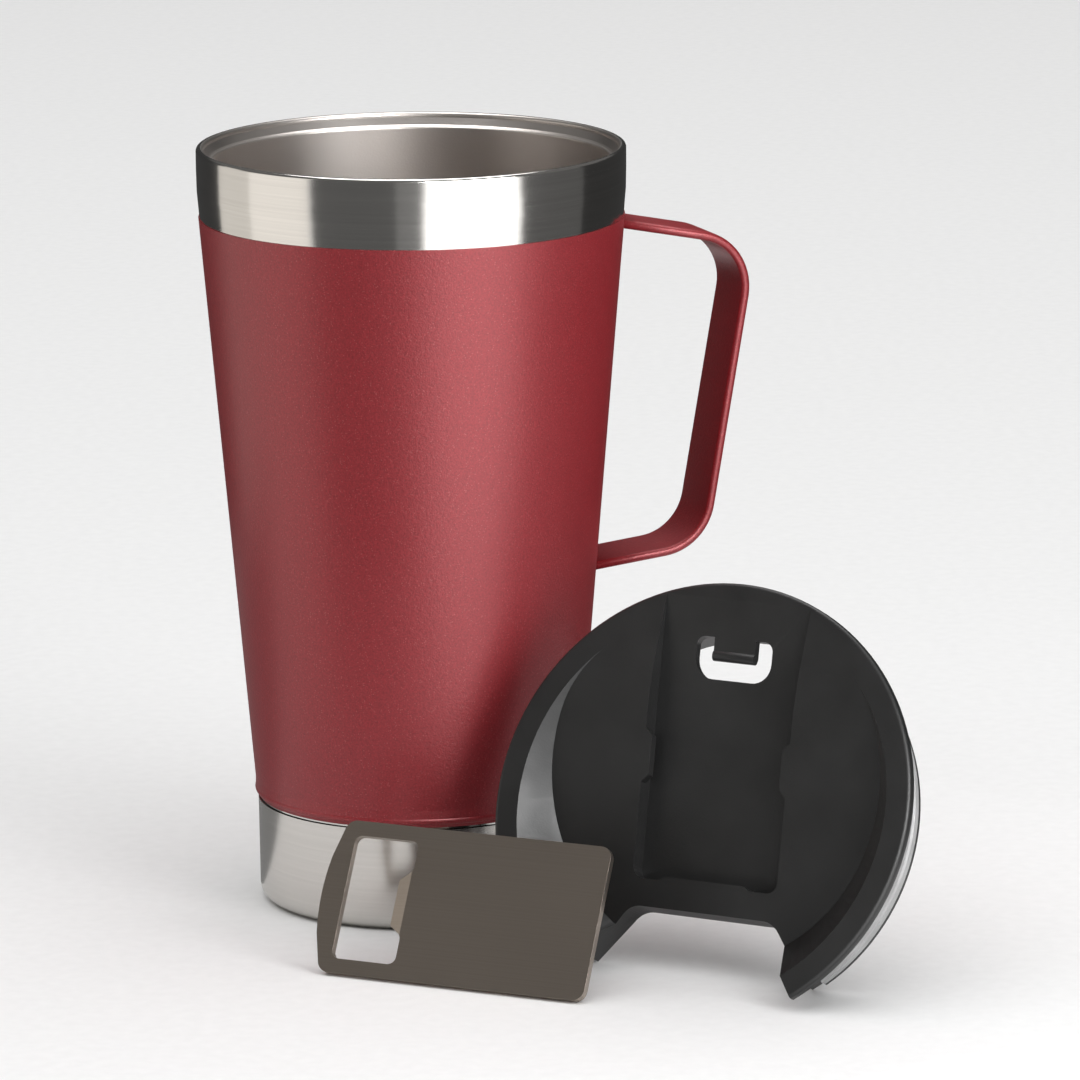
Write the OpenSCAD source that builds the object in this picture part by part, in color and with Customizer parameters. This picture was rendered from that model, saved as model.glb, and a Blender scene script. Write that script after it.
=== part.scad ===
// Insulated travel mug: a double-wall steel cup with a strap handle, its loose
// lid standing beside it, and the bottle opener plate that snaps into the lid.
// +Z is up. The origin is the centre of the mug's base, on the surface it stands on.

/* [Mug] */
// Height from the standing surface to the top of the lip
mug_h = 172; // [168:1:180]
// Outer radius of the bare steel band at the lip
lip_r = 48; // [47.8:0.1:49]
// Height at which the powder coat ends below the bare band
coat_top_z = 156.3; // [154:0.1:158]
// Height at which the powder coat ends above the base cup
coat_bottom_z = 24; // [23.5:0.1:26]
// Outer radius of the coat at its top edge
coat_top_r = 47.65; // [47.4:0.05:47.8]
// Outer radius of the coat just above the base cup
coat_bottom_r = 36.4; // [36.2:0.1:37]
// Thickness of the powder coat
coat_t = 0.25; // [0.15:0.05:0.3]
// Wall thickness of the steel shells
steel_t = 0.6; // [0.5:0.1:0.7]

/* [Mouth and liner] */
// Inner radius of the straight seat that the lid's plug fits
seat_r = 44.4; // [44.2:0.1:44.6]
// Depth of the ledge below the lip
ledge_depth = 3; // [2.5:0.1:3.5]
// Length of the straight seat
seat_length = 19; // [18:1:24]
// Inner radius of the liner just above its bottom curve
liner_foot_r = 32.4; // [31:0.1:32.6]
// Height of the drinking space's floor
liner_floor_z = 14.6; // [14:0.1:17]

/* [Base] */
// Outer radius of the base cup at its top edge
base_top_r = 36.15; // [36.1:0.05:36.3]
// Outer radius of the base cup above its bottom curve
base_foot_r = 35.95; // [35.8:0.05:36.1]
// Radius of the base cup's bottom curve
base_curve_r = 3.4; // [2:0.1:5]

/* [Handle] */
// Direction in which the handle points, from +X towards +Y
handle_azimuth = 20.2; // [0:0.1:40]
// Width of the strap
strap_w = 16; // [14:0.5:20]
// Thickness of the strap
strap_t = 2; // [1.6:0.1:2.4]
// Outer bend radius of the strap's two corners
strap_bend_r = 13.5; // [8:0.5:15]

/* [Lid] */
// Radius of the lid's flange
flange_r = 49.5; // [48.5:0.1:50.5]
// Thickness of the lid's flange
flange_t = 2.8; // [2.4:0.1:3.2]
// Depth of the plug below the top of the flange
plug_depth = 18.5; // [18:0.5:20]
// Wall thickness of the moulding
lid_wall = 2; // [1.6:0.1:2.2]
// Radius of the recess at the level of the flange
recess_r = 44; // [43:0.1:45]
// Slope of the recess floor, in degrees
recess_slope = 13; // [11:0.5:14]
// Distance from the centre to the line where the recess floor starts
recess_start_y = 25.65; // [24:0.05:27]
// Half of the width of the channel that holds the opener
channel_half_w = 17.55; // [17.4:0.05:18]
// Depth of the channel below the recess floor
channel_depth = 4.5; // [4:0.1:4.6]
// Distance from the centre to the channel's closed end
channel_end_y = 15.3; // [14:0.1:16]
// Distance from the centre to the straight edge of the rear notch
notch_y = 22.1; // [21.5:0.1:23]
// Half of the width of the notch at its straight edge
notch_half_w = 17.3; // [16:0.1:18]
// Sideways spread of the notch for each millimetre towards the rim
notch_spread = 0.72; // [0.6:0.01:0.8]

/* [Opener] */
// Length of the opener along its middle
opener_length = 66.4; // [64:0.1:67]
// Width of the opener
opener_w = 34.5; // [33.5:0.1:34.7]
// Thickness of the opener
opener_t = 1.8; // [1.6:0.1:2]

/* [Hidden] */
$fn = 96;
BIG = 200;
EPS = 0.01;

// Mug, derived
LIP_CURVE_R = 0.8;
LIP_CREST_R = lip_r - LIP_CURVE_R;
WELD_HALF_ANGLE = 18;
WELD_HALF_W = LIP_CURVE_R * sin(WELD_HALF_ANGLE);
LEDGE_CURVE_R = 0.5;
BAND_SHOULDER_Z = mug_h - 5;
BAND_LOW_Z = coat_top_z + 6;
BAND_DRAW = 0.1;
SEAT_TOP_Z = mug_h - ledge_depth;
SEAT_BOTTOM_Z = SEAT_TOP_Z - LEDGE_CURVE_R - seat_length;
BEAD_Z = coat_bottom_z + 1.6;
BEAD_R = 1;
BEAD_OUT = 0.35;
BEAD_TOP_Z = BEAD_Z + 2.4;
CUP_TOP_Z = coat_bottom_z - 0.6;
NECK_TOP_Z = CUP_TOP_Z + 0.05;
CURL_Z = CUP_TOP_Z + 0.2;
CURL_R = base_top_r - 0.45;
CUP_T = 0.7;
NECK_R = base_foot_r - CUP_T - 0.03;
NECK_BOTTOM_Z = 5;
LINER_CURVE_R = 6;
LINER_SLOPE = (seat_r - liner_foot_r) / (SEAT_BOTTOM_Z - liner_floor_z - LINER_CURVE_R);

// Vacuum closure, derived
CLOSURE_R = NECK_R - steel_t;
CLOSURE_Z = 7.4;
CLOSURE_T = 0.8;
DIMPLE_R = 6;
DIMPLE_DEPTH = 1.6;
DIMPLE_RUN = 1.5;
PORT_R = 1.2;
SEAL_R = 2.3;
SEAL_T = 1.1;
SEAL_EDGE_R = 0.5;
GETTER_R = 5;
GETTER_H = 2.4;
GETTER_X = 12;
GETTER_STRAP_W = 3;
GETTER_STRAP_T = 0.3;
GETTER_STRAP_EAR = 3;

// Handle, derived: the corners of the strap's outer line, as [radius, height]
STRAP_CORNERS = [[44, 153.7], [80.8, 146.1], [68.1, 75.7], [38, 72.6]];
WELD_BEAD_R = 0.7;
WELD_SHORT = 1.5;
WELD_REACH = 4;

// Lid, derived
FLANGE_EDGE_R = 0.8;
RECESS_FLARE = 0.85;
RECESS_BLEND_R = 70;
PLUG_R = 43.3;
PLUG_LIP_R = 44.3;
PLUG_LIP_H = 1.6;
PLUG_LIP_EDGE = 0.3;
GROOVE_R = 42.3;
GROOVE_H = 4.8;
SKIRT_R = 40.7;
GASKET_R = 44.45;
RIB_H = 1.7;
RIB_STEP = 0.4;
RIB_DEPTH = 0.5;
SEAL_GAP = 0.05;
SEAL_END_GAP = 3.4;
CHANNEL_BEYOND_Y = 70;
HOLE_HALF_W = 9.2;
HOLE_BOTTOM_Y = 28.4;
HOLE_TOP_Y = 37.4;
HOLE_CORNER_R = 4.4;
HOLE_TOP_CORNER_R = 2;
TAB_HALF_W = 5;
TAB_END_Y = 33.6;
TAB_ROLL_R = 1.25;
CLIP_IN = 1.7;
CLIP_FROM_Y = 5.2;
CLIP_TO_Y = 15;
CLIP_H = 2.2;
CLIP_LEAD = 1.4;
CHANNEL_CORNER_R = 2.6;
RELIEF_FROM_X = 10.3;
RELIEF_OUT = 0.9;
RELIEF_RUN = 0.6;
RELIEF_CORNER_R = 0.5;
NOTCH_CORNER_R = 5;
NOTCH_REACH = 40;

// Opener, derived
OPENER_CORNER_R = 2.6;
OPENER_BOW_CORNER_R = 2.8;
WINDOW_LEFT = -61;
WINDOW_RIGHT = -49;
LOBE_RIGHT = -45.6;
WINDOW_MARGIN = 3.3;
WINDOW_CORNER_R = 1.8;
LOBE_H = 6.6;
TONGUE_CHAMFER = 2.2;
TONGUE_CORNER_R = 0.8;
BEVEL_W = 3.1;
BEVEL_SHARE = 0.6;

// Where the loose pieces stand: a turn about +Z, then a lean back from upright
LID_PLACE = [61.05, -77.1, 39.05];
LID_TURN = -29;
LID_LEAN = 25;
OPENER_PLACE = [35.5, -97.1, 0.06];
OPENER_TURN = -25.7;
OPENER_LEAN = 28.7;

// ---- Helpers ----

// Points of an arc about a centre, from one angle to another.
function arc(centre, r, from, to, steps = 8) =
    [for (i = [0:steps]) let (a = from + (to - from) * i / steps) centre + r * [cos(a), sin(a)]];

function unit(v) = v / norm(v);

// The arc that rounds corner b of the path a-b-c.
function corner(a, b, c, r, steps) =
    r <= 0 ? [b] :
    let (
        u = unit(a - b),
        w = unit(c - b),
        half = acos(u * w) / 2,
        o = b + unit(u + w) * r / sin(half),
        s = b + u * r / tan(half) - o,
        e = b + w * r / tan(half) - o,
        from = atan2(s.y, s.x),
        sweep = (atan2(e.y, e.x) - from + 540) % 360 - 180
    )
    [for (i = [0:steps]) let (t = from + sweep * i / steps) o + r * [cos(t), sin(t)]];

// A closed outline with each corner rounded to its own radius.
function rounded(points, radii, steps = 8) =
    [for (i = [0:len(points) - 1])
        each corner(points[(i + len(points) - 1) % len(points)], points[i],
                    points[(i + 1) % len(points)], radii[i], steps)];

// The outer radius of the steel under the coat at a height.
function shell_r(z) =
    coat_bottom_r - coat_t
    + (coat_top_r - coat_bottom_r) * (z - coat_bottom_z) / (coat_top_z - coat_bottom_z);

// The inner radius of the liner at a height below the seat.
function liner_r(z) = seat_r - LINER_SLOPE * (SEAT_BOTTOM_Z - z);

// ---- Mug ----

// The steel's outer line where the coat covers it, from its curled foot up to the band.
function coated_line(out) = concat(
    [[CURL_R + out, coat_bottom_z]],
    arc([shell_r(BEAD_Z) + BEAD_OUT - BEAD_R + out, BEAD_Z], BEAD_R, -60, 30, 6),
    [[shell_r(BEAD_TOP_Z) + out, BEAD_TOP_Z], [shell_r(coat_top_z) + out, coat_top_z]]);

// The drawn outer wall: bare band and lip, coated cone, and the neck inside the base cup.
module outer_shell() {
    outside = concat(
        [[NECK_R, NECK_BOTTOM_Z], [NECK_R, NECK_TOP_Z], [CURL_R, CURL_Z]],
        coated_line(0),
        [[lip_r - BAND_DRAW, BAND_LOW_Z], [lip_r, BAND_SHOULDER_Z]],
        arc([LIP_CREST_R, mug_h - LIP_CURVE_R], LIP_CURVE_R, 0, 90 - WELD_HALF_ANGLE));
    inside = [
        [LIP_CREST_R + WELD_HALF_W, mug_h - 2.2],
        [lip_r - BAND_DRAW - steel_t, BAND_SHOULDER_Z - 1],
        [shell_r(coat_top_z) - steel_t, coat_top_z],
        [shell_r(BEAD_TOP_Z) - steel_t, BEAD_TOP_Z],
        [NECK_R - steel_t, NECK_TOP_Z - steel_t],
        [NECK_R - steel_t, NECK_BOTTOM_Z]];
    color("silver") rotate_extrude() polygon(concat(outside, inside));
}

// The drinking vessel: flared lip, ledge, straight lid seat, tapered wall and round floor.
module inner_liner() {
    curve_z = liner_floor_z + LINER_CURVE_R;
    wetted = concat(
        [[0, liner_floor_z]],
        arc([liner_r(curve_z) - LINER_CURVE_R, curve_z], LINER_CURVE_R, -90, 0),
        [[seat_r, SEAT_BOTTOM_Z]],
        arc([seat_r + LEDGE_CURVE_R, SEAT_TOP_Z - LEDGE_CURVE_R], LEDGE_CURVE_R, 180, 80),
        [[seat_r + 1, SEAT_TOP_Z + 0.3], [LIP_CREST_R - LIP_CURVE_R, mug_h - 1.2]],
        arc([LIP_CREST_R, mug_h - LIP_CURVE_R], LIP_CURVE_R, 180, 90 + WELD_HALF_ANGLE, 6));
    dry = concat(
        [[LIP_CREST_R - WELD_HALF_W, mug_h - 2],
         [seat_r + steel_t + 0.8, SEAT_TOP_Z - 0.5],
         [seat_r + steel_t, SEAT_TOP_Z - 1.5],
         [seat_r + steel_t, SEAT_BOTTOM_Z]],
        arc([liner_r(curve_z) - LINER_CURVE_R, curve_z], LINER_CURVE_R + steel_t, 0, -90),
        [[0, liner_floor_z - steel_t]]);
    color("gainsboro") rotate_extrude() polygon(concat(wetted, dry));
}

// The weld ring that joins the two walls at the crest of the lip.
module rim_weld() {
    color("silver") rotate_extrude()
        polygon(concat(
            [[LIP_CREST_R - WELD_HALF_W, mug_h - 1.2], [LIP_CREST_R + WELD_HALF_W, mug_h - 1.2]],
            arc([LIP_CREST_R, mug_h - LIP_CURVE_R], LIP_CURVE_R,
                90 - WELD_HALF_ANGLE, 90 + WELD_HALF_ANGLE, 4)));
}

// The coloured powder coat on the cone, ending in a bead above the base cup.
module powder_coat() {
    inner = coated_line(0);
    color("firebrick") rotate_extrude()
        polygon(concat(coated_line(coat_t), [for (i = [len(inner) - 1:-1:0]) inner[i]]));
}

// The bare steel cup that closes the foot of the mug.
module base_cup() {
    t = CUP_T;
    bend = [base_foot_r - base_curve_r, base_curve_r];
    color("silver") rotate_extrude()
        polygon(concat(
            [[0, 0]],
            arc(bend, base_curve_r, -90, 0),
            [[base_top_r, CUP_TOP_Z], [base_top_r - t, CUP_TOP_Z]],
            arc(bend, base_curve_r - t, 0, -90),
            [[0, t]]));
}

// The inner closure of the vacuum space, dished in the middle around its pump-out port.
module vacuum_base() {
    dish_z = CLOSURE_Z - DIMPLE_DEPTH;
    top_r = DIMPLE_R - CLOSURE_T / 2;
    color("darkgray") rotate_extrude()
        polygon([
            [PORT_R, dish_z + CLOSURE_T],
            [PORT_R, dish_z],
            [DIMPLE_R - DIMPLE_RUN, dish_z],
            [DIMPLE_R, CLOSURE_Z],
            [CLOSURE_R - CLOSURE_T, CLOSURE_Z],
            [CLOSURE_R - CLOSURE_T, NECK_BOTTOM_Z],
            [CLOSURE_R, NECK_BOTTOM_Z],
            [CLOSURE_R, CLOSURE_Z + CLOSURE_T],
            [top_r, CLOSURE_Z + CLOSURE_T],
            [top_r - DIMPLE_RUN, dish_z + CLOSURE_T]]);
}

// The solder glass button that seals the pump-out port from below.
module vacuum_seal() {
    under = CLOSURE_Z - DIMPLE_DEPTH;
    color("dimgray") rotate_extrude()
        polygon(concat([[0, under - SEAL_T]],
                       arc([SEAL_R - SEAL_EDGE_R, under - SEAL_T + SEAL_EDGE_R], SEAL_EDGE_R, -90, 0, 4),
                       [[SEAL_R, under], [0, under]]));
}

// The pellet that keeps the vacuum, under the liner's floor.
module getter() {
    color("slategray") translate([GETTER_X, 0, liner_floor_z - steel_t - GETTER_H])
        cylinder(h = GETTER_H, r = GETTER_R);
}

// The thin strap that holds the pellet against the liner.
module getter_strap() {
    w = GETTER_STRAP_W;
    t = GETTER_STRAP_T;
    top = liner_floor_z - steel_t;
    color("lightgray") translate([GETTER_X, -w / 2, 0]) {
        translate([-GETTER_R - t, 0, top - GETTER_H - t]) cube([2 * GETTER_R + 2 * t, w, t]);
        for (side = [-1, 1]) {
            translate([side > 0 ? GETTER_R : -GETTER_R - t, 0, top - GETTER_H - t])
                cube([t, w, GETTER_H + t]);
            translate([side > 0 ? GETTER_R : -GETTER_R - GETTER_STRAP_EAR, 0, top - t])
                cube([GETTER_STRAP_EAR, w, t]);
        }
    }
}

// ---- Handle ----

// The strap's outer line moved inwards by a distance, with its two bends rounded.
function strap_line(inset) =
    let (
        p = STRAP_CORNERS,
        r = strap_bend_r - inset,
        down = [for (i = [0:2]) let (d = unit(p[i + 1] - p[i])) [d.y, -d.x] * inset],
        q = [for (i = [1:2]) meet(p[i - 1] + down[i - 1], p[i] + down[i - 1],
                                  p[i] + down[i], p[i + 1] + down[i])]
    )
    concat([p[0] + down[0]],
           corner(p[0] + down[0], q[0], q[1], r, 14),
           corner(q[0], q[1], p[3] + down[2], r, 14),
           [p[3] + down[2]]);

// The crossing point of the lines a-b and c-d.
function meet(a, b, c, d) =
    let (u = b - a, v = d - c, w = c - a)
    a + u * (w.x * v.y - w.y * v.x) / (u.x * v.y - u.y * v.x);

// Extrudes a [radius, height] outline to a width, across the handle's direction.
module at_handle(width) {
    rotate([0, 0, handle_azimuth]) rotate([90, 0, 0])
        linear_extrude(height = width, center = true) children();
}

// The cone that the handle is welded to, raised by a gap above the powder coat's surface.
module wall_cone(gap) {
    rotate_extrude()
        polygon([[0, coat_bottom_z], [shell_r(coat_bottom_z) + coat_t + gap, coat_bottom_z],
                 [shell_r(coat_top_z) + coat_t + gap, coat_top_z], [0, coat_top_z]]);
}

// The bent strap before its ends are cut to the wall.
module bent_strap() {
    inside = strap_line(strap_t);
    at_handle(strap_w)
        polygon(concat(strap_line(0), [for (i = [len(inside) - 1:-1:0]) inside[i]]));
}

// One flat strap bent into a hand loop, cut to the cone at both ends.
module handle() {
    color("firebrick") difference() {
        bent_strap();
        wall_cone(0);
    }
}

// Weld beads along both faces of the strap where it meets the wall, for the leg a-b.
module handle_weld(a, b) {
    along = b - a;
    color("firebrick") difference() {
        at_handle(strap_w - 2 * WELD_SHORT)
            translate(strap_foot(a, b)) rotate(atan2(along.y, along.x))
                square([2 * WELD_REACH, strap_t + 2 * WELD_BEAD_R], center = true);
        bent_strap();
        wall_cone(0);
        difference() {
            translate([0, 0, coat_bottom_z]) cylinder(h = mug_h, r = BIG);
            wall_cone(WELD_BEAD_R);
        }
    }
}

// The middle of the strap where its leg a-b meets the wall.
function strap_foot(a, b) =
    let (d = unit(b - a), mid = a + [d.y, -d.x] * strap_t / 2,
         wall_a = [shell_r(coat_bottom_z) + coat_t, coat_bottom_z],
         wall_b = [shell_r(coat_top_z) + coat_t, coat_top_z])
    meet(mid, mid + d, wall_a, wall_b);

module upper_handle_weld() {
    handle_weld(STRAP_CORNERS[0], STRAP_CORNERS[1]);
}

module lower_handle_weld() {
    handle_weld(STRAP_CORNERS[2], STRAP_CORNERS[3]);
}

// ---- Lid, in its own frame: +Z out of its top face, +Y towards the drinking edge ----

module place_lid() {
    translate(LID_PLACE) rotate([90 - LID_LEAN, 0, LID_TURN]) children();
}

// The space above the recess floor, or above one that lies a wall's thickness below it.
// The floor leaves the level of the flange in a wide curve, then slopes down to the notch.
module above_slope(depth) {
    centre = [recess_start_y + RECESS_BLEND_R * tan(recess_slope / 2), -RECESS_BLEND_R];
    blend = [for (i = [0:8]) let (a = 90 + recess_slope * i / 8)
        centre + (RECESS_BLEND_R - depth) * [cos(a), sin(a)]];
    fall = BIG / 2;
    foot = blend[8] - fall * [cos(recess_slope), sin(recess_slope)];
    translate([-BIG / 2, 0, 0]) rotate([90, 0, 90]) linear_extrude(height = BIG)
        polygon(concat([[BIG / 2, -depth]], blend, [foot, [foot.x, BIG / 4], [BIG / 2, BIG / 4]]));
}

// The space above the channel's floor, a flat slope that rises to the drinking edge.
module above_ramp(depth) {
    translate([0, recess_start_y, 0]) rotate([recess_slope, 0, 0])
        translate([-BIG / 2, -BIG / 2, -depth]) cube([BIG, BIG, BIG / 4]);
}

// The dished recess, or the same grown by a wall thickness.
module recess(grow) {
    depth = 30;
    intersection() {
        translate([0, 0, -depth])
            cylinder(h = depth + EPS, r1 = recess_r + grow - depth * RECESS_FLARE,
                     r2 = recess_r + grow);
        above_slope(grow);
    }
}

// The channel for the opener, open at the drinking edge, or the same grown by a wall.
// The corners of its closed end are relieved, so the opener's own corners clear them.
module channel(grow) {
    half = channel_half_w + grow;
    end = -channel_end_y - grow;
    relief = end - RELIEF_OUT;
    corner_r = CHANNEL_CORNER_R + grow;
    from = RELIEF_FROM_X;
    run = RELIEF_RUN;
    inner_r = RELIEF_CORNER_R;
    outline = [[half, CHANNEL_BEYOND_Y], [-half, CHANNEL_BEYOND_Y], [-half, relief],
               [-from - run, relief], [-from + run, end],
               [from - run, end], [from + run, relief], [half, relief]];
    intersection() {
        above_ramp(channel_depth + grow);
        translate([0, 0, -plug_depth - 5]) linear_extrude(height = plug_depth + 5 + EPS)
            polygon(rounded(outline, [0, 0, corner_r, inner_r, inner_r, inner_r, inner_r, corner_r], 6));
    }
}

// The outline of the rear notch, or the same moved out by a wall thickness.
module notch_outline(grow) {
    side = grow * sqrt(1 + notch_spread * notch_spread);
    near = notch_half_w + side - grow * notch_spread;
    far = near + notch_spread * NOTCH_REACH;
    top = -notch_y + grow;
    r = NOTCH_CORNER_R;
    polygon(rounded([[near, top], [-near, top], [-far, top - NOTCH_REACH], [far, top - NOTCH_REACH]],
                    [r, r, 0, 0]));
}

module notch(grow) {
    translate([0, 0, -plug_depth - 1]) linear_extrude(height = plug_depth + 2) notch_outline(grow);
}

// The drinking slot, left open around a tab that hangs from its outer edge.
module drink_hole() {
    outline = [[-HOLE_HALF_W, HOLE_BOTTOM_Y], [HOLE_HALF_W, HOLE_BOTTOM_Y],
               [HOLE_HALF_W, HOLE_TOP_Y], [-HOLE_HALF_W, HOLE_TOP_Y]];
    r = HOLE_CORNER_R;
    difference() {
        translate([0, 0, -12]) linear_extrude(height = 20)
            polygon(rounded(outline, [r, r, HOLE_TOP_CORNER_R, HOLE_TOP_CORNER_R]));
        translate([-TAB_HALF_W, TAB_END_Y, -13]) cube([2 * TAB_HALF_W, 10, 22]);
    }
}

// The rolled lip along the end of the tab.
module tab_roll() {
    floor_z = tan(recess_slope) * (TAB_END_Y - recess_start_y) - channel_depth / cos(recess_slope);
    translate([-TAB_HALF_W, TAB_END_Y, floor_z - TAB_ROLL_R / 2]) rotate([0, 90, 0])
        cylinder(h = 2 * TAB_HALF_W, r = TAB_ROLL_R);
}

// The clips on the channel's side walls that the opener snaps under.
module clips() {
    lead = CLIP_LEAD;
    for (side = [-1, 1])
        intersection() {
            difference() {
                above_ramp(CLIP_H);
                above_ramp(0);
            }
            translate([0, 0, -plug_depth]) linear_extrude(height = plug_depth)
                polygon([[side * (channel_half_w + 0.5), CLIP_FROM_Y - lead],
                         [side * (channel_half_w - CLIP_IN), CLIP_FROM_Y + lead / 2],
                         [side * (channel_half_w - CLIP_IN), CLIP_TO_Y - lead / 2],
                         [side * (channel_half_w + 0.5), CLIP_TO_Y + lead]]);
        }
}

// The flange and the plug below it, before anything is cut away.
module lid_blank() {
    e = FLANGE_EDGE_R;
    rotate_extrude()
        polygon(concat(
            [[0, 0], [0, -plug_depth], [PLUG_R, -plug_depth], [PLUG_R, -flange_t]],
            arc([flange_r - e, -flange_t + e], e, -90, 0, 5),
            arc([flange_r - e, -e], e, 0, 90, 5)));
}

// The lip that closes the ring's groove at the end of the plug, short of the notch too.
module plug_lip() {
    lip_top = -plug_depth + PLUG_LIP_H;
    inside_wall_r = (SKIRT_R + GROOVE_R) / 2;
    difference() {
        rotate_extrude()
            polygon([[inside_wall_r, -plug_depth], [PLUG_LIP_R - PLUG_LIP_EDGE, -plug_depth],
                     [PLUG_LIP_R, -plug_depth + PLUG_LIP_EDGE], [PLUG_LIP_R, lip_top],
                     [inside_wall_r, lip_top]]);
        notch(SEAL_END_GAP);
    }
}

// The groove that holds the sealing ring.
module seal_groove() {
    low = -plug_depth + PLUG_LIP_H;
    difference() {
        rotate_extrude()
            polygon([[GROOVE_R, low], [flange_r, low], [flange_r, low + GROOVE_H],
                     [GROOVE_R, low + GROOVE_H]]);
        notch(SEAL_END_GAP);
    }
}

// What is hollowed out from below: everything inside the skirt but the walls of the recess.
module underside() {
    difference() {
        translate([0, 0, -plug_depth - 1])
            cylinder(h = plug_depth + 1 - flange_t + 0.6, r = SKIRT_R);
        recess(lid_wall);
        channel(lid_wall);
        notch(lid_wall);
    }
}

// The moulded lid: sloping recess, opener channel with clips, drinking slot and rear notch.
module lid_body() {
    color([0.09, 0.09, 0.1]) place_lid() {
        difference() {
            union() {
                lid_blank();
                plug_lip();
            }
            seal_groove();
            underside();
            recess(0);
            difference() {
                channel(0);
                clips();
            }
            drink_hole();
            notch(0);
        }
        tab_roll();
    }
}

// The silicone sealing ring in the plug's groove: two ribs, and open ends beside the notch.
module lid_gasket() {
    low = -plug_depth + PLUG_LIP_H + SEAL_GAP;
    high = low + GROOVE_H - 2 * SEAL_GAP;
    root_r = GROOVE_R + SEAL_GAP / 2;
    valley_r = GASKET_R - RIB_DEPTH;
    color([0.9, 0.92, 0.94]) place_lid()
        difference() {
            rotate_extrude()
                polygon([[root_r, low], [GASKET_R, low], [GASKET_R, low + RIB_H],
                         [valley_r, low + RIB_H + RIB_STEP], [valley_r, high - RIB_H - RIB_STEP],
                         [GASKET_R, high - RIB_H], [GASKET_R, high], [root_r, high]]);
            notch(SEAL_END_GAP + 2 * SEAL_GAP);
        }
}

// ---- Opener, in its own frame: origin at its lower right rear corner, +Z out of its face ----

// The plate's outline: square right end, left end bowed like the lid's rim, round corners.
function opener_outline() =
    let (
        middle = opener_w / 2,
        centre = [flange_r - opener_length, middle],
        swing = asin(middle / flange_r),
        tip_x = centre.x - flange_r * cos(swing),
        bow = arc(centre, flange_r, 180 - swing / 2, 180 + swing / 2, 8),
        r = OPENER_CORNER_R,
        bow_r = OPENER_BOW_CORNER_R
    )
    rounded(concat([[0, 0], [0, opener_w], [tip_x, opener_w]], bow, [[tip_x, 0]]),
            concat([r, r, bow_r], [for (p = bow) 0], [bow_r]));

// The opener's window: two lobes on the right that leave the prying tongue between them.
function window_outline() =
    let (
        low = WINDOW_MARGIN,
        high = opener_w - WINDOW_MARGIN,
        c = TONGUE_CHAMFER,
        r = WINDOW_CORNER_R,
        t = TONGUE_CORNER_R
    )
    rounded([[WINDOW_LEFT, low], [LOBE_RIGHT, low], [LOBE_RIGHT, low + LOBE_H],
             [WINDOW_RIGHT, low + LOBE_H + c], [WINDOW_RIGHT, high - LOBE_H - c],
             [LOBE_RIGHT, high - LOBE_H], [LOBE_RIGHT, high], [WINDOW_LEFT, high]],
            [r, r, r, t, t, r, r, r], 5);

// The thin steel opener plate with its window and bevelled prying tongue.
module opener() {
    bevel_depth = opener_t * BEVEL_SHARE;
    tongue_w = opener_w - 2 * (WINDOW_MARGIN + LOBE_H);
    cutter = 8;
    color("darkgray") translate(OPENER_PLACE) rotate([90 - OPENER_LEAN, 0, OPENER_TURN])
        difference() {
            linear_extrude(height = opener_t) polygon(opener_outline());
            translate([0, 0, -1]) linear_extrude(height = opener_t + 2) polygon(window_outline());
            translate([WINDOW_RIGHT + BEVEL_W, WINDOW_MARGIN + LOBE_H, opener_t])
                rotate([0, -atan2(bevel_depth, BEVEL_W), 0])
                    translate([-cutter, 0, 0])
                        cube([cutter, tongue_w, cutter / 2]);
        }
}

// ---- Nodes ----

outer_shell();
inner_liner();
rim_weld();
powder_coat();
base_cup();
vacuum_base();
vacuum_seal();
getter();
getter_strap();
handle();
upper_handle_weld();
lower_handle_weld();
lid_body();
lid_gasket();
opener();
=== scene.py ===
"""Insulated travel mug with its lid and bottle opener beside it, on a pale studio floor."""
import math

import bmesh
import bpy
from mathutils import Matrix, Vector


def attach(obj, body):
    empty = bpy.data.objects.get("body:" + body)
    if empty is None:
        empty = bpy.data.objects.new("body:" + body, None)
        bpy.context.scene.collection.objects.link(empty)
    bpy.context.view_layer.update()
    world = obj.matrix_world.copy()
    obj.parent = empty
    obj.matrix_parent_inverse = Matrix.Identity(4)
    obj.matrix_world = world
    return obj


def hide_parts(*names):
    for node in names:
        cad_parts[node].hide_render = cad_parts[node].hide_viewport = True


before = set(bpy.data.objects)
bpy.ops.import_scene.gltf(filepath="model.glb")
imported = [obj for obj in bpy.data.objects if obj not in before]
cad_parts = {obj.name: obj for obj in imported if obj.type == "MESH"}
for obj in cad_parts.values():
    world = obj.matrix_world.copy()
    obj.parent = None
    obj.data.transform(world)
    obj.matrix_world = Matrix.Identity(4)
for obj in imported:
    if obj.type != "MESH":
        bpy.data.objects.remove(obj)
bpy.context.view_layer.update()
scene = bpy.context.scene
MM = 0.001

# The sizes of the pieces are in millimetres.

# The handle's strap: its direction, its outer line as radius and height, and its section
HANDLE_AZIMUTH = math.radians(20.2)
STRAP_CORNERS = [(44.0, 153.7), (80.8, 146.1), (68.1, 75.7), (38.0, 72.6)]
STRAP_WIDTH = 16.0
STRAP_THICKNESS = 2.0
STRAP_BEND = 13.5
STRAP_EDGE = 0.95
STRAP_BURIED = 0.35

# The powder coat's cone, as radius at two heights
CONE_LOW = (36.4, 24.0)
CONE_HIGH = (47.65, 156.3)

# How much the edges are rounded, and which edges count as sharp
LID_ROUNDING = 0.4
OPENER_ROUNDING = 0.3
SHARP_ANGLE = math.radians(32)
FLAT_ANGLE = math.radians(0.4)
WELD_DISTANCE = 0.002

# Where the opener stands: its lower corner, its turn about +Z and its lean from upright
OPENER_PLACE = (35.5, -97.1, 0.06)
OPENER_TURN = math.radians(-25.7)
OPENER_LEAN = math.radians(28.7)


# ---- Small node and mesh helpers ----

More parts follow.
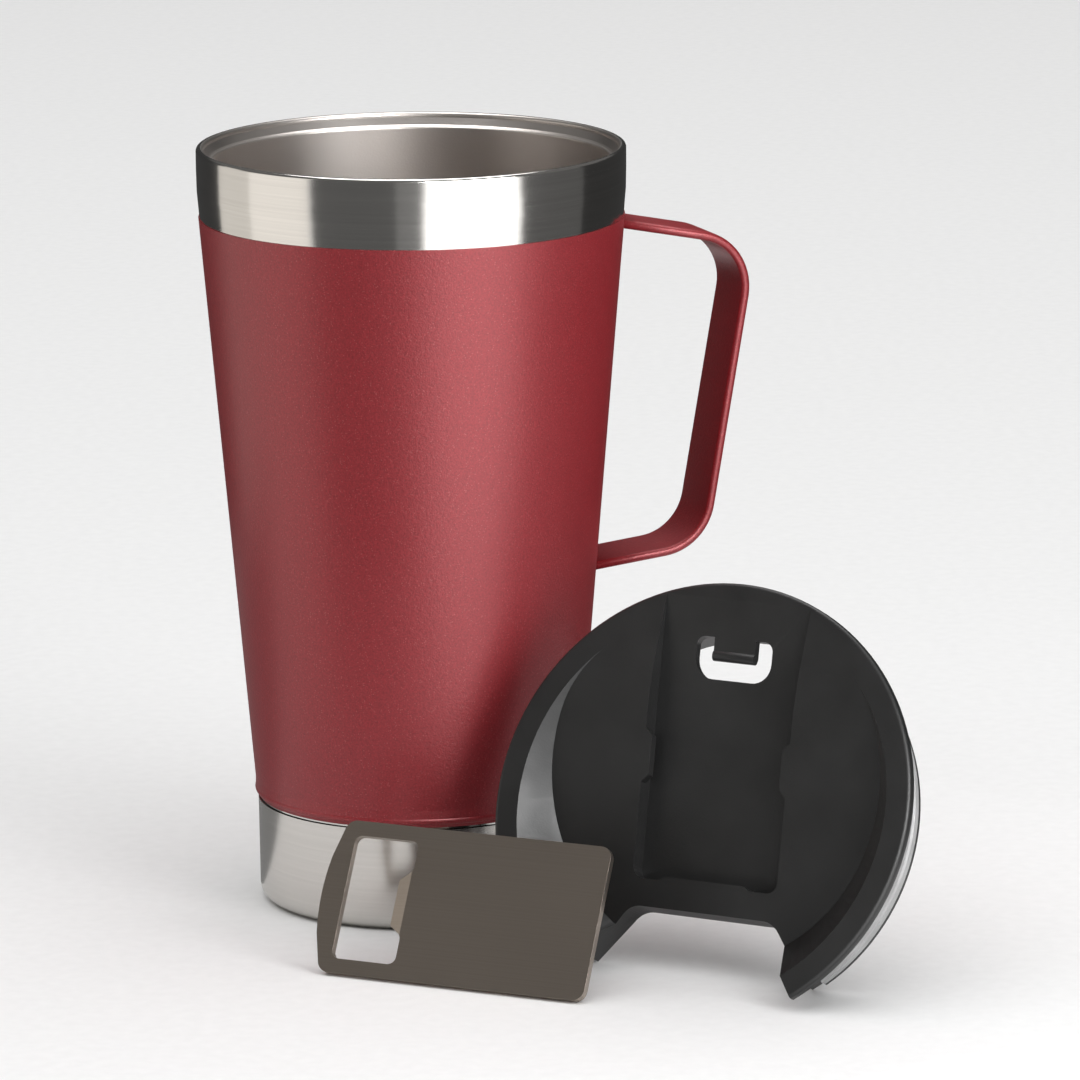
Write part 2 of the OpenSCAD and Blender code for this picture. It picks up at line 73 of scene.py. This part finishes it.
def standing_matrix(place, turn, lean):
    """The matrix that takes a piece lying face up to where it leans on the floor."""
    spot = Matrix.Translation(Vector(place) * MM)
    return spot @ Matrix.Rotation(turn, 4, "Z") @ Matrix.Rotation(math.pi / 2 - lean, 4, "X")


OPENER_MATRIX = standing_matrix(OPENER_PLACE, OPENER_TURN, OPENER_LEAN)


class Nodes:
    """A new material with a Principled shader, and short ways to add nodes to it."""

    def __init__(self, name, **sockets):
        self.material = bpy.data.materials.new(name)
        self.material.use_nodes = True
        self.tree = self.material.node_tree
        self.shader = self.tree.nodes["Principled BSDF"]
        for socket, value in sockets.items():
            self.shader.inputs[socket.replace("_", " ")].default_value = value

    def add(self, kind, **settings):
        node = self.tree.nodes.new("ShaderNode" + kind)
        for key, value in settings.items():
            if key in node.inputs:
                node.inputs[key].default_value = value
            else:
                setattr(node, key, value)
        return node

    def link(self, source, target):
        self.tree.links.new(source, target)

    def place(self, scale=(1, 1, 1), matrix=None):
        """The object's own coordinates in metres, turned into a piece's frame and scaled."""
        out = self.add("TexCoord").outputs["Object"]
        if matrix is not None:
            turn = self.add("Mapping", vector_type="POINT")
            inverse = matrix.inverted()
            turn.inputs["Location"].default_value = inverse.to_translation()
            turn.inputs["Rotation"].default_value = inverse.to_euler()
            self.link(out, turn.inputs["Vector"])
            out = turn.outputs["Vector"]
        stretch = self.add("Mapping", vector_type="POINT")
        stretch.inputs["Scale"].default_value = scale
        self.link(out, stretch.inputs["Vector"])
        return stretch.outputs["Vector"]

    def noise(self, where, scale, detail=2.0, roughness=0.5):
        node = self.add("TexNoise", Scale=scale, Detail=detail, Roughness=roughness)
        self.link(where, node.inputs["Vector"])
        return node.outputs["Fac"]

    def ramp(self, value, stops):
        """A colour ramp through (position, colour) stops."""
        node = self.add("ValToRGB")
        points = node.color_ramp.elements
        for spare in list(points)[2:]:
            points.remove(spare)
        while len(points) < len(stops):
            points.new(1.0)
        for point, (position, colour) in zip(points, stops):
            point.position = position
            point.color = (*colour, 1.0)
        self.link(value, node.inputs["Fac"])
        return node.outputs["Color"]

    def tones(self, value, dark, light):
        """A texture's darker and lighter tones of one colour."""
        return self.ramp(value, [(TONE_LOW, dark), (TONE_HIGH, light)])

    def span(self, value, low, high):
        """Maps a 0 to 1 value to low to high."""
        node = self.add("MapRange")
        node.inputs["To Min"].default_value = low
        node.inputs["To Max"].default_value = high
        self.link(value, node.inputs["Value"])
        return node.outputs["Result"]

    def bump(self, height, distance, strength=1.0, below=None):
        node = self.add("Bump", Distance=distance, Strength=strength)
        self.link(height, node.inputs["Height"])
        if below is not None:
            self.link(below, node.inputs["Normal"])
        return node.outputs["Normal"]

    def into(self, output, socket):
        self.link(output, self.shader.inputs[socket])


# ---- Materials ----

# Texture scales, in cells for each metre
COAT_GLINT_SCALE = 2700.0
COAT_GRAIN = 2600.0
COAT_PEEL = 1300.0
COAT_CLOUDS = 28.0
STEEL_BLOTCHES = 45.0
LINER_GRAIN = 2200.0
PLASTIC_GRAIN = 1900.0
PLASTIC_CLOUDS = 60.0
SILICONE_GRAIN = 1600.0
SILICONE_DUST = 140.0
INNER_GRAIN = 900.0
PAPER_FIBRES = 300.0

# Brush lines, as cells for each metre along X, Y and Z: round the axis, or along the opener
LINES_ROUND = (9, 9, 1800)
LINES_ALONG = (3, 2600, 3)

# Bump depths, in metres
PEEL_DEPTH = 0.00006
GRAIN_DEPTH = 0.00004
SILICONE_DEPTH = 0.00002
BRUSH_DEPTH = 0.000005
FINE_BRUSH_DEPTH = 0.000003

# The coat's painted glints, pale sparkle specks painted into its colour: where their middle ends
# and their edge fades out, in cells, and the range of a cell's random grey in which they come up
# to their full share
GLINT_CORE = 0.2
GLINT_EDGE = 0.45
GLINT_NONE = 0.72
GLINT_FULL = 0.80
GLINT_SHARE = (0.34, 0.34, 0.34)

# Colours
WHITE = (1, 1, 1)
BLACK = (0, 0, 0)
# Painted glint: the pale colour of the sparkle specks painted on the coat
PAINTED_GLINT_COLOUR = (0.55, 0.14, 0.14, 1)
COAT_DARK = (0.205, 0.009, 0.0135)
COAT_LIGHT = (0.31, 0.016, 0.023)
BAND_COLOUR = (0.61, 0.592, 0.565)
CUP_COLOUR = (0.62, 0.6, 0.57)
OPENER_COLOUR = (0.40, 0.345, 0.295)
LINER_DARK = (0.50, 0.46, 0.43)
LINER_LIGHT = (0.60, 0.56, 0.53)
PLASTIC_DARK = (0.008, 0.008, 0.008)
PLASTIC_LIGHT = (0.013, 0.013, 0.013)
SILICONE_DARK = (0.34, 0.34, 0.342)
SILICONE_LIGHT = (0.42, 0.42, 0.423)
CLOSURE_COLOUR = (0.45, 0.44, 0.43)
SEAL_COLOUR = (0.05, 0.055, 0.065)
PELLET_COLOUR = (0.16, 0.16, 0.17)
PAPER_DARK = (0.83, 0.83, 0.83)
PAPER_LIGHT = (0.86, 0.86, 0.86)

# Where a texture's darkest and lightest tones end
TONE_LOW = 0.3
TONE_HIGH = 0.7

# The darkest tone of brushed steel and of the inner pieces, as a share of their colour
BRUSH_SHADE = 0.9
INNER_SHADE = 0.75

BRUSH_ANISOTROPY = 0.45


def powder_coat():
    """Metallic red powder coat: fine orange peel, and pale specks painted into its colour as
    sparkle glints.
    """
    m = Nodes("powder_coat_red", Metallic=0.16, IOR=1.55)
    where = m.place()
    # Painted glints: sparse cells picked at random become pale specks of painted sparkle
    glint_cells = m.add("TexVoronoi", Scale=COAT_GLINT_SCALE, feature="F1")
    m.link(where, glint_cells.inputs["Vector"])
    middle = m.ramp(glint_cells.outputs["Distance"], [(GLINT_CORE, WHITE), (GLINT_EDGE, BLACK)])
    glint_pick = m.ramp(glint_cells.outputs["Color"], [(GLINT_NONE, BLACK), (GLINT_FULL, GLINT_SHARE)])
    glint = m.add("Math", operation="MULTIPLY")
    m.link(middle, glint.inputs[0])
    m.link(glint_pick, glint.inputs[1])
    tone = m.noise(where, COAT_GRAIN, 3.0)
    cloud = m.noise(where, COAT_CLOUDS, 2.0)
    colour = m.tones(tone, COAT_DARK, COAT_LIGHT)
    # The painted glints are mixed into the coat's colour here
    pale = m.add("Mix", data_type="RGBA", blend_type="MIX")
    pale.inputs["B"].default_value = PAINTED_GLINT_COLOUR
    m.link(glint.outputs["Value"], pale.inputs["Factor"])
    m.link(colour, pale.inputs["A"])
    m.into(pale.outputs["Result"], "Base Color")
    m.into(m.span(cloud, 0.34, 0.42), "Roughness")
    peel = m.bump(m.noise(where, COAT_PEEL, 2.0), PEEL_DEPTH, 0.7)
    m.into(m.bump(tone, GRAIN_DEPTH, 0.7, peel), "Normal")
    return m.material


def brushed_steel(name, colour, low, high, lines, matrix=None, around=True, depth=BRUSH_DEPTH):
    """Steel with fine brush lines across the axis that lines scales most, low to high rough."""
    m = Nodes(name, Metallic=1.0)
    if around:
        m.shader.inputs["Anisotropic"].default_value = BRUSH_ANISOTROPY
        tangent = m.add("Tangent", direction_type="RADIAL", axis="Z")
        m.into(tangent.outputs["Tangent"], "Tangent")
    fine = m.noise(m.place(lines, matrix), 1.0, 4.0, 0.7)
    blotch = m.noise(m.place(), STEEL_BLOTCHES, 3.0)
    m.into(m.tones(fine, tuple(c * BRUSH_SHADE for c in colour), colour), "Base Color")
    both = m.add("Mix", data_type="FLOAT", Factor=0.5)
    m.link(fine, both.inputs["A"])
    m.link(blotch, both.inputs["B"])
    m.into(m.span(both.outputs["Result"], low, high), "Roughness")
    m.into(m.bump(fine, depth, 0.6), "Normal")
    return m.material


def blasted_steel():
    """The liner's soft bead-blasted steel, a little cloudy."""
    m = Nodes("blasted_steel", Metallic=1.0)
    where = m.place()
    grain = m.noise(where, LINER_GRAIN, 2.0)
    cloud = m.noise(m.place((30, 30, 12)), 1.0, 3.0)
    m.into(m.tones(cloud, LINER_DARK, LINER_LIGHT), "Base Color")
    m.into(m.span(cloud, 0.28, 0.36), "Roughness")
    m.into(m.bump(grain, GRAIN_DEPTH, 0.7), "Normal")
    return m.material


def lid_plastic():
    """Black moulded plastic: fine spark texture and slight sheen changes."""
    m = Nodes("lid_plastic_black", IOR=1.49)
    where = m.place()
    grain = m.noise(where, PLASTIC_GRAIN, 2.0)
    cloud = m.noise(where, PLASTIC_CLOUDS, 3.0)
    m.into(m.tones(cloud, PLASTIC_DARK, PLASTIC_LIGHT), "Base Color")
    m.into(m.span(cloud, 0.36, 0.48), "Roughness")
    m.into(m.bump(grain, GRAIN_DEPTH, 0.6), "Normal")
    return m.material


def silicone():
    """Milky sealing-ring silicone with a slight dust bloom."""
    m = Nodes("silicone_white", IOR=1.41)
    where = m.place()
    dust = m.noise(where, SILICONE_DUST, 3.0)
    m.into(m.tones(dust, SILICONE_DARK, SILICONE_LIGHT), "Base Color")
    m.into(m.span(dust, 0.34, 0.5), "Roughness")
    m.into(m.bump(m.noise(where, SILICONE_GRAIN), SILICONE_DEPTH, 0.5), "Normal")
    return m.material


def plain_inner(name, colour, metallic, low, high):
    """A quiet finish for a sealed inner piece, with some grain."""
    m = Nodes(name, Metallic=metallic)
    where = m.place()
    grain = m.noise(where, INNER_GRAIN, 3.0)
    m.into(m.tones(grain, tuple(c * INNER_SHADE for c in colour), colour), "Base Color")
    m.into(m.span(grain, low, high), "Roughness")
    return m.material


def floor_paper():
    """Pale studio paper."""
    m = Nodes("floor_paper", Specular_IOR_Level=0.2)
    where = m.place()
    fibre = m.noise(where, PAPER_FIBRES, 3.0)
    m.into(m.tones(fibre, PAPER_DARK, PAPER_LIGHT), "Base Color")
    m.into(m.span(fibre, 0.7, 0.8), "Roughness")
    return m.material


# ---- Pieces ----

def paint(node, material):
    """Gives a CAD node its material."""
    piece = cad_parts[node]
    piece.data.materials.clear()
    piece.data.materials.append(material)


def soften(piece, width, segments):
    """Rounds a CAD node's sharp edges by width millimetres without touching its own mesh."""
    weld = piece.modifiers.new("weld", "WELD")
    weld.merge_threshold = WELD_DISTANCE * MM
    flat = piece.modifiers.new("flat_faces", "DECIMATE")
    flat.decimate_type = "DISSOLVE"
    flat.angle_limit = FLAT_ANGLE
    edge = piece.modifiers.new("edge_rounding", "BEVEL")
    edge.width = width * MM
    edge.segments = segments
    edge.limit_method = "ANGLE"
    edge.angle_limit = SHARP_ANGLE
    edge.harden_normals = True


def bent_line(corners, bend, steps=14):
    """The open path through corners, with every inner corner rounded to a radius."""
    path = [Vector(corners[0])]
    for before, at, after in zip(corners, corners[1:], corners[2:]):
        before, at, after = Vector(before), Vector(at), Vector(after)
        back = (before - at).normalized()
        ahead = (after - at).normalized()
        half = back.angle(ahead) / 2
        centre = at + (back + ahead).normalized() * bend / math.sin(half)
        start = at + back * bend / math.tan(half) - centre
        end = at + ahead * bend / math.tan(half) - centre
        sweep = start.angle_signed(end)
        for i in range(steps + 1):
            turned = Matrix.Rotation(-sweep * i / steps, 2) @ start
            path.append(centre + turned)
    path.append(Vector(corners[-1]))
    return path


def cone_radius(height):
    """The radius of the powder coat at a height."""
    (r_low, z_low), (r_high, z_high) = CONE_LOW, CONE_HIGH
    return r_low + (r_high - r_low) * (height - z_low) / (z_high - z_low)


def rounded_section(width, thickness, edge, steps=6):
    """Points round a flat strap's section, as (across the strap, through its thickness)."""
    points = []
    half_w, half_t = width / 2 - edge, thickness / 2 - edge
    for turn, (sx, sy) in enumerate([(1, 1), (-1, 1), (-1, -1), (1, -1)]):
        for i in range(steps + 1):
            angle = math.pi / 2 * (turn + i / steps)
            points.append((sx * half_w + edge * math.cos(angle),
                           sy * half_t + edge * math.sin(angle)))
    return points


def finish_mesh(name, bm, material, smooth=True):
    """An object in the scene from a bmesh, with its material."""
    mesh = bpy.data.meshes.new(name)
    bmesh.ops.recalc_face_normals(bm, faces=bm.faces)
    bm.to_mesh(mesh)
    bm.free()
    mesh.materials.append(material)
    for polygon in mesh.polygons:
        polygon.use_smooth = smooth
    piece = bpy.data.objects.new(name, mesh)
    scene.collection.objects.link(piece)
    return piece


def make_handle(material):
    """The bent strap, with rounded edges, its two ends just inside the coat."""
    outline = bent_line(STRAP_CORNERS, STRAP_BEND)
    stations = []
    for i, point in enumerate(outline):
        ahead = outline[min(i + 1, len(outline) - 1)] - outline[max(i - 1, 0)]
        ahead.normalize()
        inward = Vector((ahead.y, -ahead.x))
        stations.append((point + inward * STRAP_THICKNESS / 2, ahead, inward))
    section = rounded_section(STRAP_WIDTH, STRAP_THICKNESS, STRAP_EDGE)
    out = Vector((math.cos(HANDLE_AZIMUTH), math.sin(HANDLE_AZIMUTH), 0))
    side = Vector((-out.y, out.x, 0))
    up = Vector((0, 0, 1))
    bm = bmesh.new()
    rings = []
    last = len(stations) - 1
    for i, (point, ahead, inward) in enumerate(stations):
        ring = []
        for across, through in section:
            spot = point + inward * -through
            if i in (0, last):
                wall = cone_radius(spot.y)
                reach = math.sqrt(max(wall ** 2 - across ** 2, 0)) - STRAP_BURIED
                spot = spot + ahead * (reach - spot.x) / ahead.x
            ring.append(bm.verts.new((out * spot.x + side * across + up * spot.y) * MM))
        rings.append(ring)
    for near, far in zip(rings, rings[1:]):
        for i in range(len(near)):
            j = (i + 1) % len(near)
            bm.faces.new((near[i], near[j], far[j], far[i]))
    bm.faces.new(rings[0])
    bm.faces.new(list(reversed(rings[-1])))
    return finish_mesh("handle_strap", bm, material)


coat = powder_coat()
band_steel = brushed_steel("band_steel", BAND_COLOUR, 0.07, 0.16, LINES_ROUND)
cup_steel = brushed_steel("cup_steel", CUP_COLOUR, 0.15, 0.25, LINES_ROUND)
opener_steel = brushed_steel("opener_steel", OPENER_COLOUR, 0.26, 0.34, LINES_ALONG,
                             OPENER_MATRIX, around=False, depth=FINE_BRUSH_DEPTH)
liner_steel = blasted_steel()
plastic = lid_plastic()
ring_silicone = silicone()
hidden_steel = plain_inner("closure_steel", CLOSURE_COLOUR, metallic=1.0, low=0.35, high=0.55)
seal_glass = plain_inner("seal_glass", SEAL_COLOUR, metallic=0.0, low=0.08, high=0.2)
pellet_metal = plain_inner("pellet_metal", PELLET_COLOUR, metallic=0.8, low=0.6, high=0.8)

FINISHES = {
    "outer_shell": band_steel,
    "rim_weld": band_steel,
    "base_cup": cup_steel,
    "inner_liner": liner_steel,
    "powder_coat": coat,
    "upper_handle_weld": coat,
    "lower_handle_weld": coat,
    "vacuum_base": hidden_steel,
    "getter_strap": hidden_steel,
    "vacuum_seal": seal_glass,
    "getter": pellet_metal,
    "lid_body": plastic,
    "lid_gasket": ring_silicone,
    "opener": opener_steel,
}
for node_name, finish in FINISHES.items():
    paint(node_name, finish)

handle = make_handle(coat)
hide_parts("handle")
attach(handle, "mug")

soften(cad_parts["lid_body"], LID_ROUNDING, 3)
soften(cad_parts["opener"], OPENER_ROUNDING, 2)


# ---- Studio, with its sizes in metres ----

FLOOR_SPAN = (-6.0, 6.0)

# The large soft light overhead
OVERHEAD = (0.0, 0.2, 2.2)
OVERHEAD_AIM = (0, 0.2, 0)
OVERHEAD_SIDE = 5.0
OVERHEAD_WATTS = 106

# The key light at the front right, and the card that gives its mirrored shape
KEY_SPOT = (0.56, -0.66, 0.33)
KEY_AIM = (0.03, -0.04, 0.08)
KEY_WIDTH = 0.42
KEY_HEIGHT = 0.5
KEY_WATTS = 3.4
KEY_CARD_GLOW = 18

# The small card whose light falls on the liner's far wall
LINER_CARD_SPOT = (0.2, -0.75, 0.42)
LINER_CARD_AIM = (0, 0.04, 0.16)
LINER_CARD_SIDE = 0.2
LINER_CARD_GLOW = 22

# The level card over the mug, which the lip and the liner mirror
OVER_CARD_X = (-0.3, 0.3)
OVER_CARD_Y = (-0.12, 0.4)
OVER_CARD_Z = 0.8
OVER_CARD_GLOW = 4.5

# The cards that lie round the mug: where they start and end from its axis, their height at
# the near end, and their rise for each metre outwards
CARD_NEAR = 0.2
CARD_FAR = 1.8
CARD_FLOOR_GAP = 0.002
CARD_LIFT = 0.45
WARM_WHITE = (1.0, 0.96, 0.91)
WARMER_WHITE = (1.0, 0.96, 0.90)

WORLD_COLOUR = (0.88, 0.87, 0.86, 1)
WORLD_STRENGTH = 0.2


def make_panel(name, corners, material, glossy_only=False):
    """A flat sheet through four corners. A card that is glossy only lights nothing by itself."""
    bm = bmesh.new()
    bm.faces.new([bm.verts.new(corner) for corner in corners])
    panel = finish_mesh(name, bm, material, smooth=False)
    if glossy_only:
        panel.visible_camera = False
        panel.visible_diffuse = False
        panel.visible_shadow = False


def level_corners(x_range, y_range, z):
    """The four corners of a level rectangle, anticlockwise from above."""
    (x_low, x_high), (y_low, y_high) = x_range, y_range
    return [(x_low, y_low, z), (x_high, y_low, z), (x_high, y_high, z), (x_low, y_high, z)]


def area_light(name, spot, target, width, height, power):
    """A rectangular lamp that nothing mirrors, since the cards give the reflections."""
    light = bpy.data.lights.new(name, "AREA")
    light.shape = "RECTANGLE"
    light.size = width
    light.size_y = height
    light.energy = power
    lamp = bpy.data.objects.new(name, light)
    lamp.location = spot
    facing = Vector(target) - Vector(spot)
    lamp.rotation_euler = facing.to_track_quat("-Z", "Y").to_euler()
    lamp.visible_glossy = False
    scene.collection.objects.link(lamp)


def glow(name, brightness, colour=WHITE):
    """The surface of a studio card."""
    material = bpy.data.materials.new(name)
    material.use_nodes = True
    tree = material.node_tree
    tree.nodes.clear()
    shader = tree.nodes.new("ShaderNodeEmission")
    shader.inputs["Color"].default_value = (*colour, 1)
    shader.inputs["Strength"].default_value = brightness
    output = tree.nodes.new("ShaderNodeOutputMaterial")
    tree.links.new(shader.outputs["Emission"], output.inputs["Surface"])
    return material


def facing_card(name, spot, target, width, height, brightness):
    """A card with its middle at spot, square to the line towards target."""
    turned = (Vector(target) - Vector(spot)).to_track_quat("-Z", "Y")
    corners = []
    for across, along in ((-1, -1), (1, -1), (1, 1), (-1, 1)):
        offset = turned @ Vector((across * width / 2, along * height / 2, 0))
        corners.append(Vector(spot) + offset)
    make_panel(name, corners, glow(name, brightness), glossy_only=True)


def low_card(name, start, stop, brightness, colour=WHITE, near=CARD_NEAR, far=CARD_FAR):
    """A card low round the mug between two directions, in degrees from the front towards +X."""
    corners = []
    for reach, angle in ((near, start), (far, start), (far, stop), (near, stop)):
        turned = math.radians(angle)
        height = CARD_FLOOR_GAP + CARD_LIFT * (reach - near)
        corners.append((reach * math.sin(turned), -reach * math.cos(turned), height))
    make_panel(name, corners, glow(name, brightness, colour), glossy_only=True)


make_panel("floor", level_corners(FLOOR_SPAN, FLOOR_SPAN, 0), floor_paper())
area_light("top_softbox", OVERHEAD, OVERHEAD_AIM, OVERHEAD_SIDE, OVERHEAD_SIDE, OVERHEAD_WATTS)
area_light("front_softbox", KEY_SPOT, KEY_AIM, KEY_WIDTH, KEY_HEIGHT, KEY_WATTS)

# What the band, the base cup and the coat mirror all round: start, stop and brightness
low_card("card_left", -92, -54, 1.3, WARM_WHITE)
low_card("card_left_far", -126, -92, 0.95, WARMER_WHITE)
low_card("flag_front", -52, -8, 0.14)
low_card("flag_front_near", -8, 5, 0.27)
low_card("card_front", 7, 56, 2.4)
low_card("flag_right", 58, 100, 0.13)
low_card("flag_back_right", 100, 178, 0.045)
low_card("flag_back", -178, -118, 0.05, near=0.045)
low_card("shade_base", -155, -90, 0.24, near=0.038, far=0.16)
facing_card("card_high", KEY_SPOT, KEY_AIM, KEY_WIDTH, KEY_HEIGHT, KEY_CARD_GLOW)
facing_card("card_liner", LINER_CARD_SPOT, LINER_CARD_AIM, LINER_CARD_SIDE, LINER_CARD_SIDE,
            LINER_CARD_GLOW)
make_panel("card_over", level_corners(OVER_CARD_X, OVER_CARD_Y, OVER_CARD_Z),
           glow("card_over", OVER_CARD_GLOW), glossy_only=True)

world = bpy.data.worlds.new("studio")
world.use_nodes = True
background = world.node_tree.nodes["Background"]
background.inputs["Color"].default_value = WORLD_COLOUR
background.inputs["Strength"].default_value = WORLD_STRENGTH
scene.world = world
scene.view_settings.view_transform = "Standard"

# The camera stands in front of the mug, a little above it
CAMERA_PLACE = (0.0, -1.7132, 0.4479)
CAMERA_PITCH = math.radians(-12.07)
CAMERA_YAW = math.radians(-0.94)
CAMERA_ROLL = math.radians(-0.43)
CAMERA_LENS = 259.1
CAMERA_SENSOR = 36.0
CAMERA_REACH = 50.0
camera_data = bpy.data.cameras.new("camera")
camera_data.lens = CAMERA_LENS
camera_data.sensor_width = CAMERA_SENSOR
camera_data.clip_end = CAMERA_REACH
camera = bpy.data.objects.new("camera", camera_data)
aim = Matrix.Rotation(CAMERA_YAW, 4, "Z") @ Matrix.Rotation(math.pi / 2 + CAMERA_PITCH, 4, "X")
camera.matrix_world = Matrix.Translation(CAMERA_PLACE) @ aim @ Matrix.Rotation(CAMERA_ROLL, 4, "Z")
scene.collection.objects.link(camera)
scene.camera = camera

bpy.context.view_layer.update()
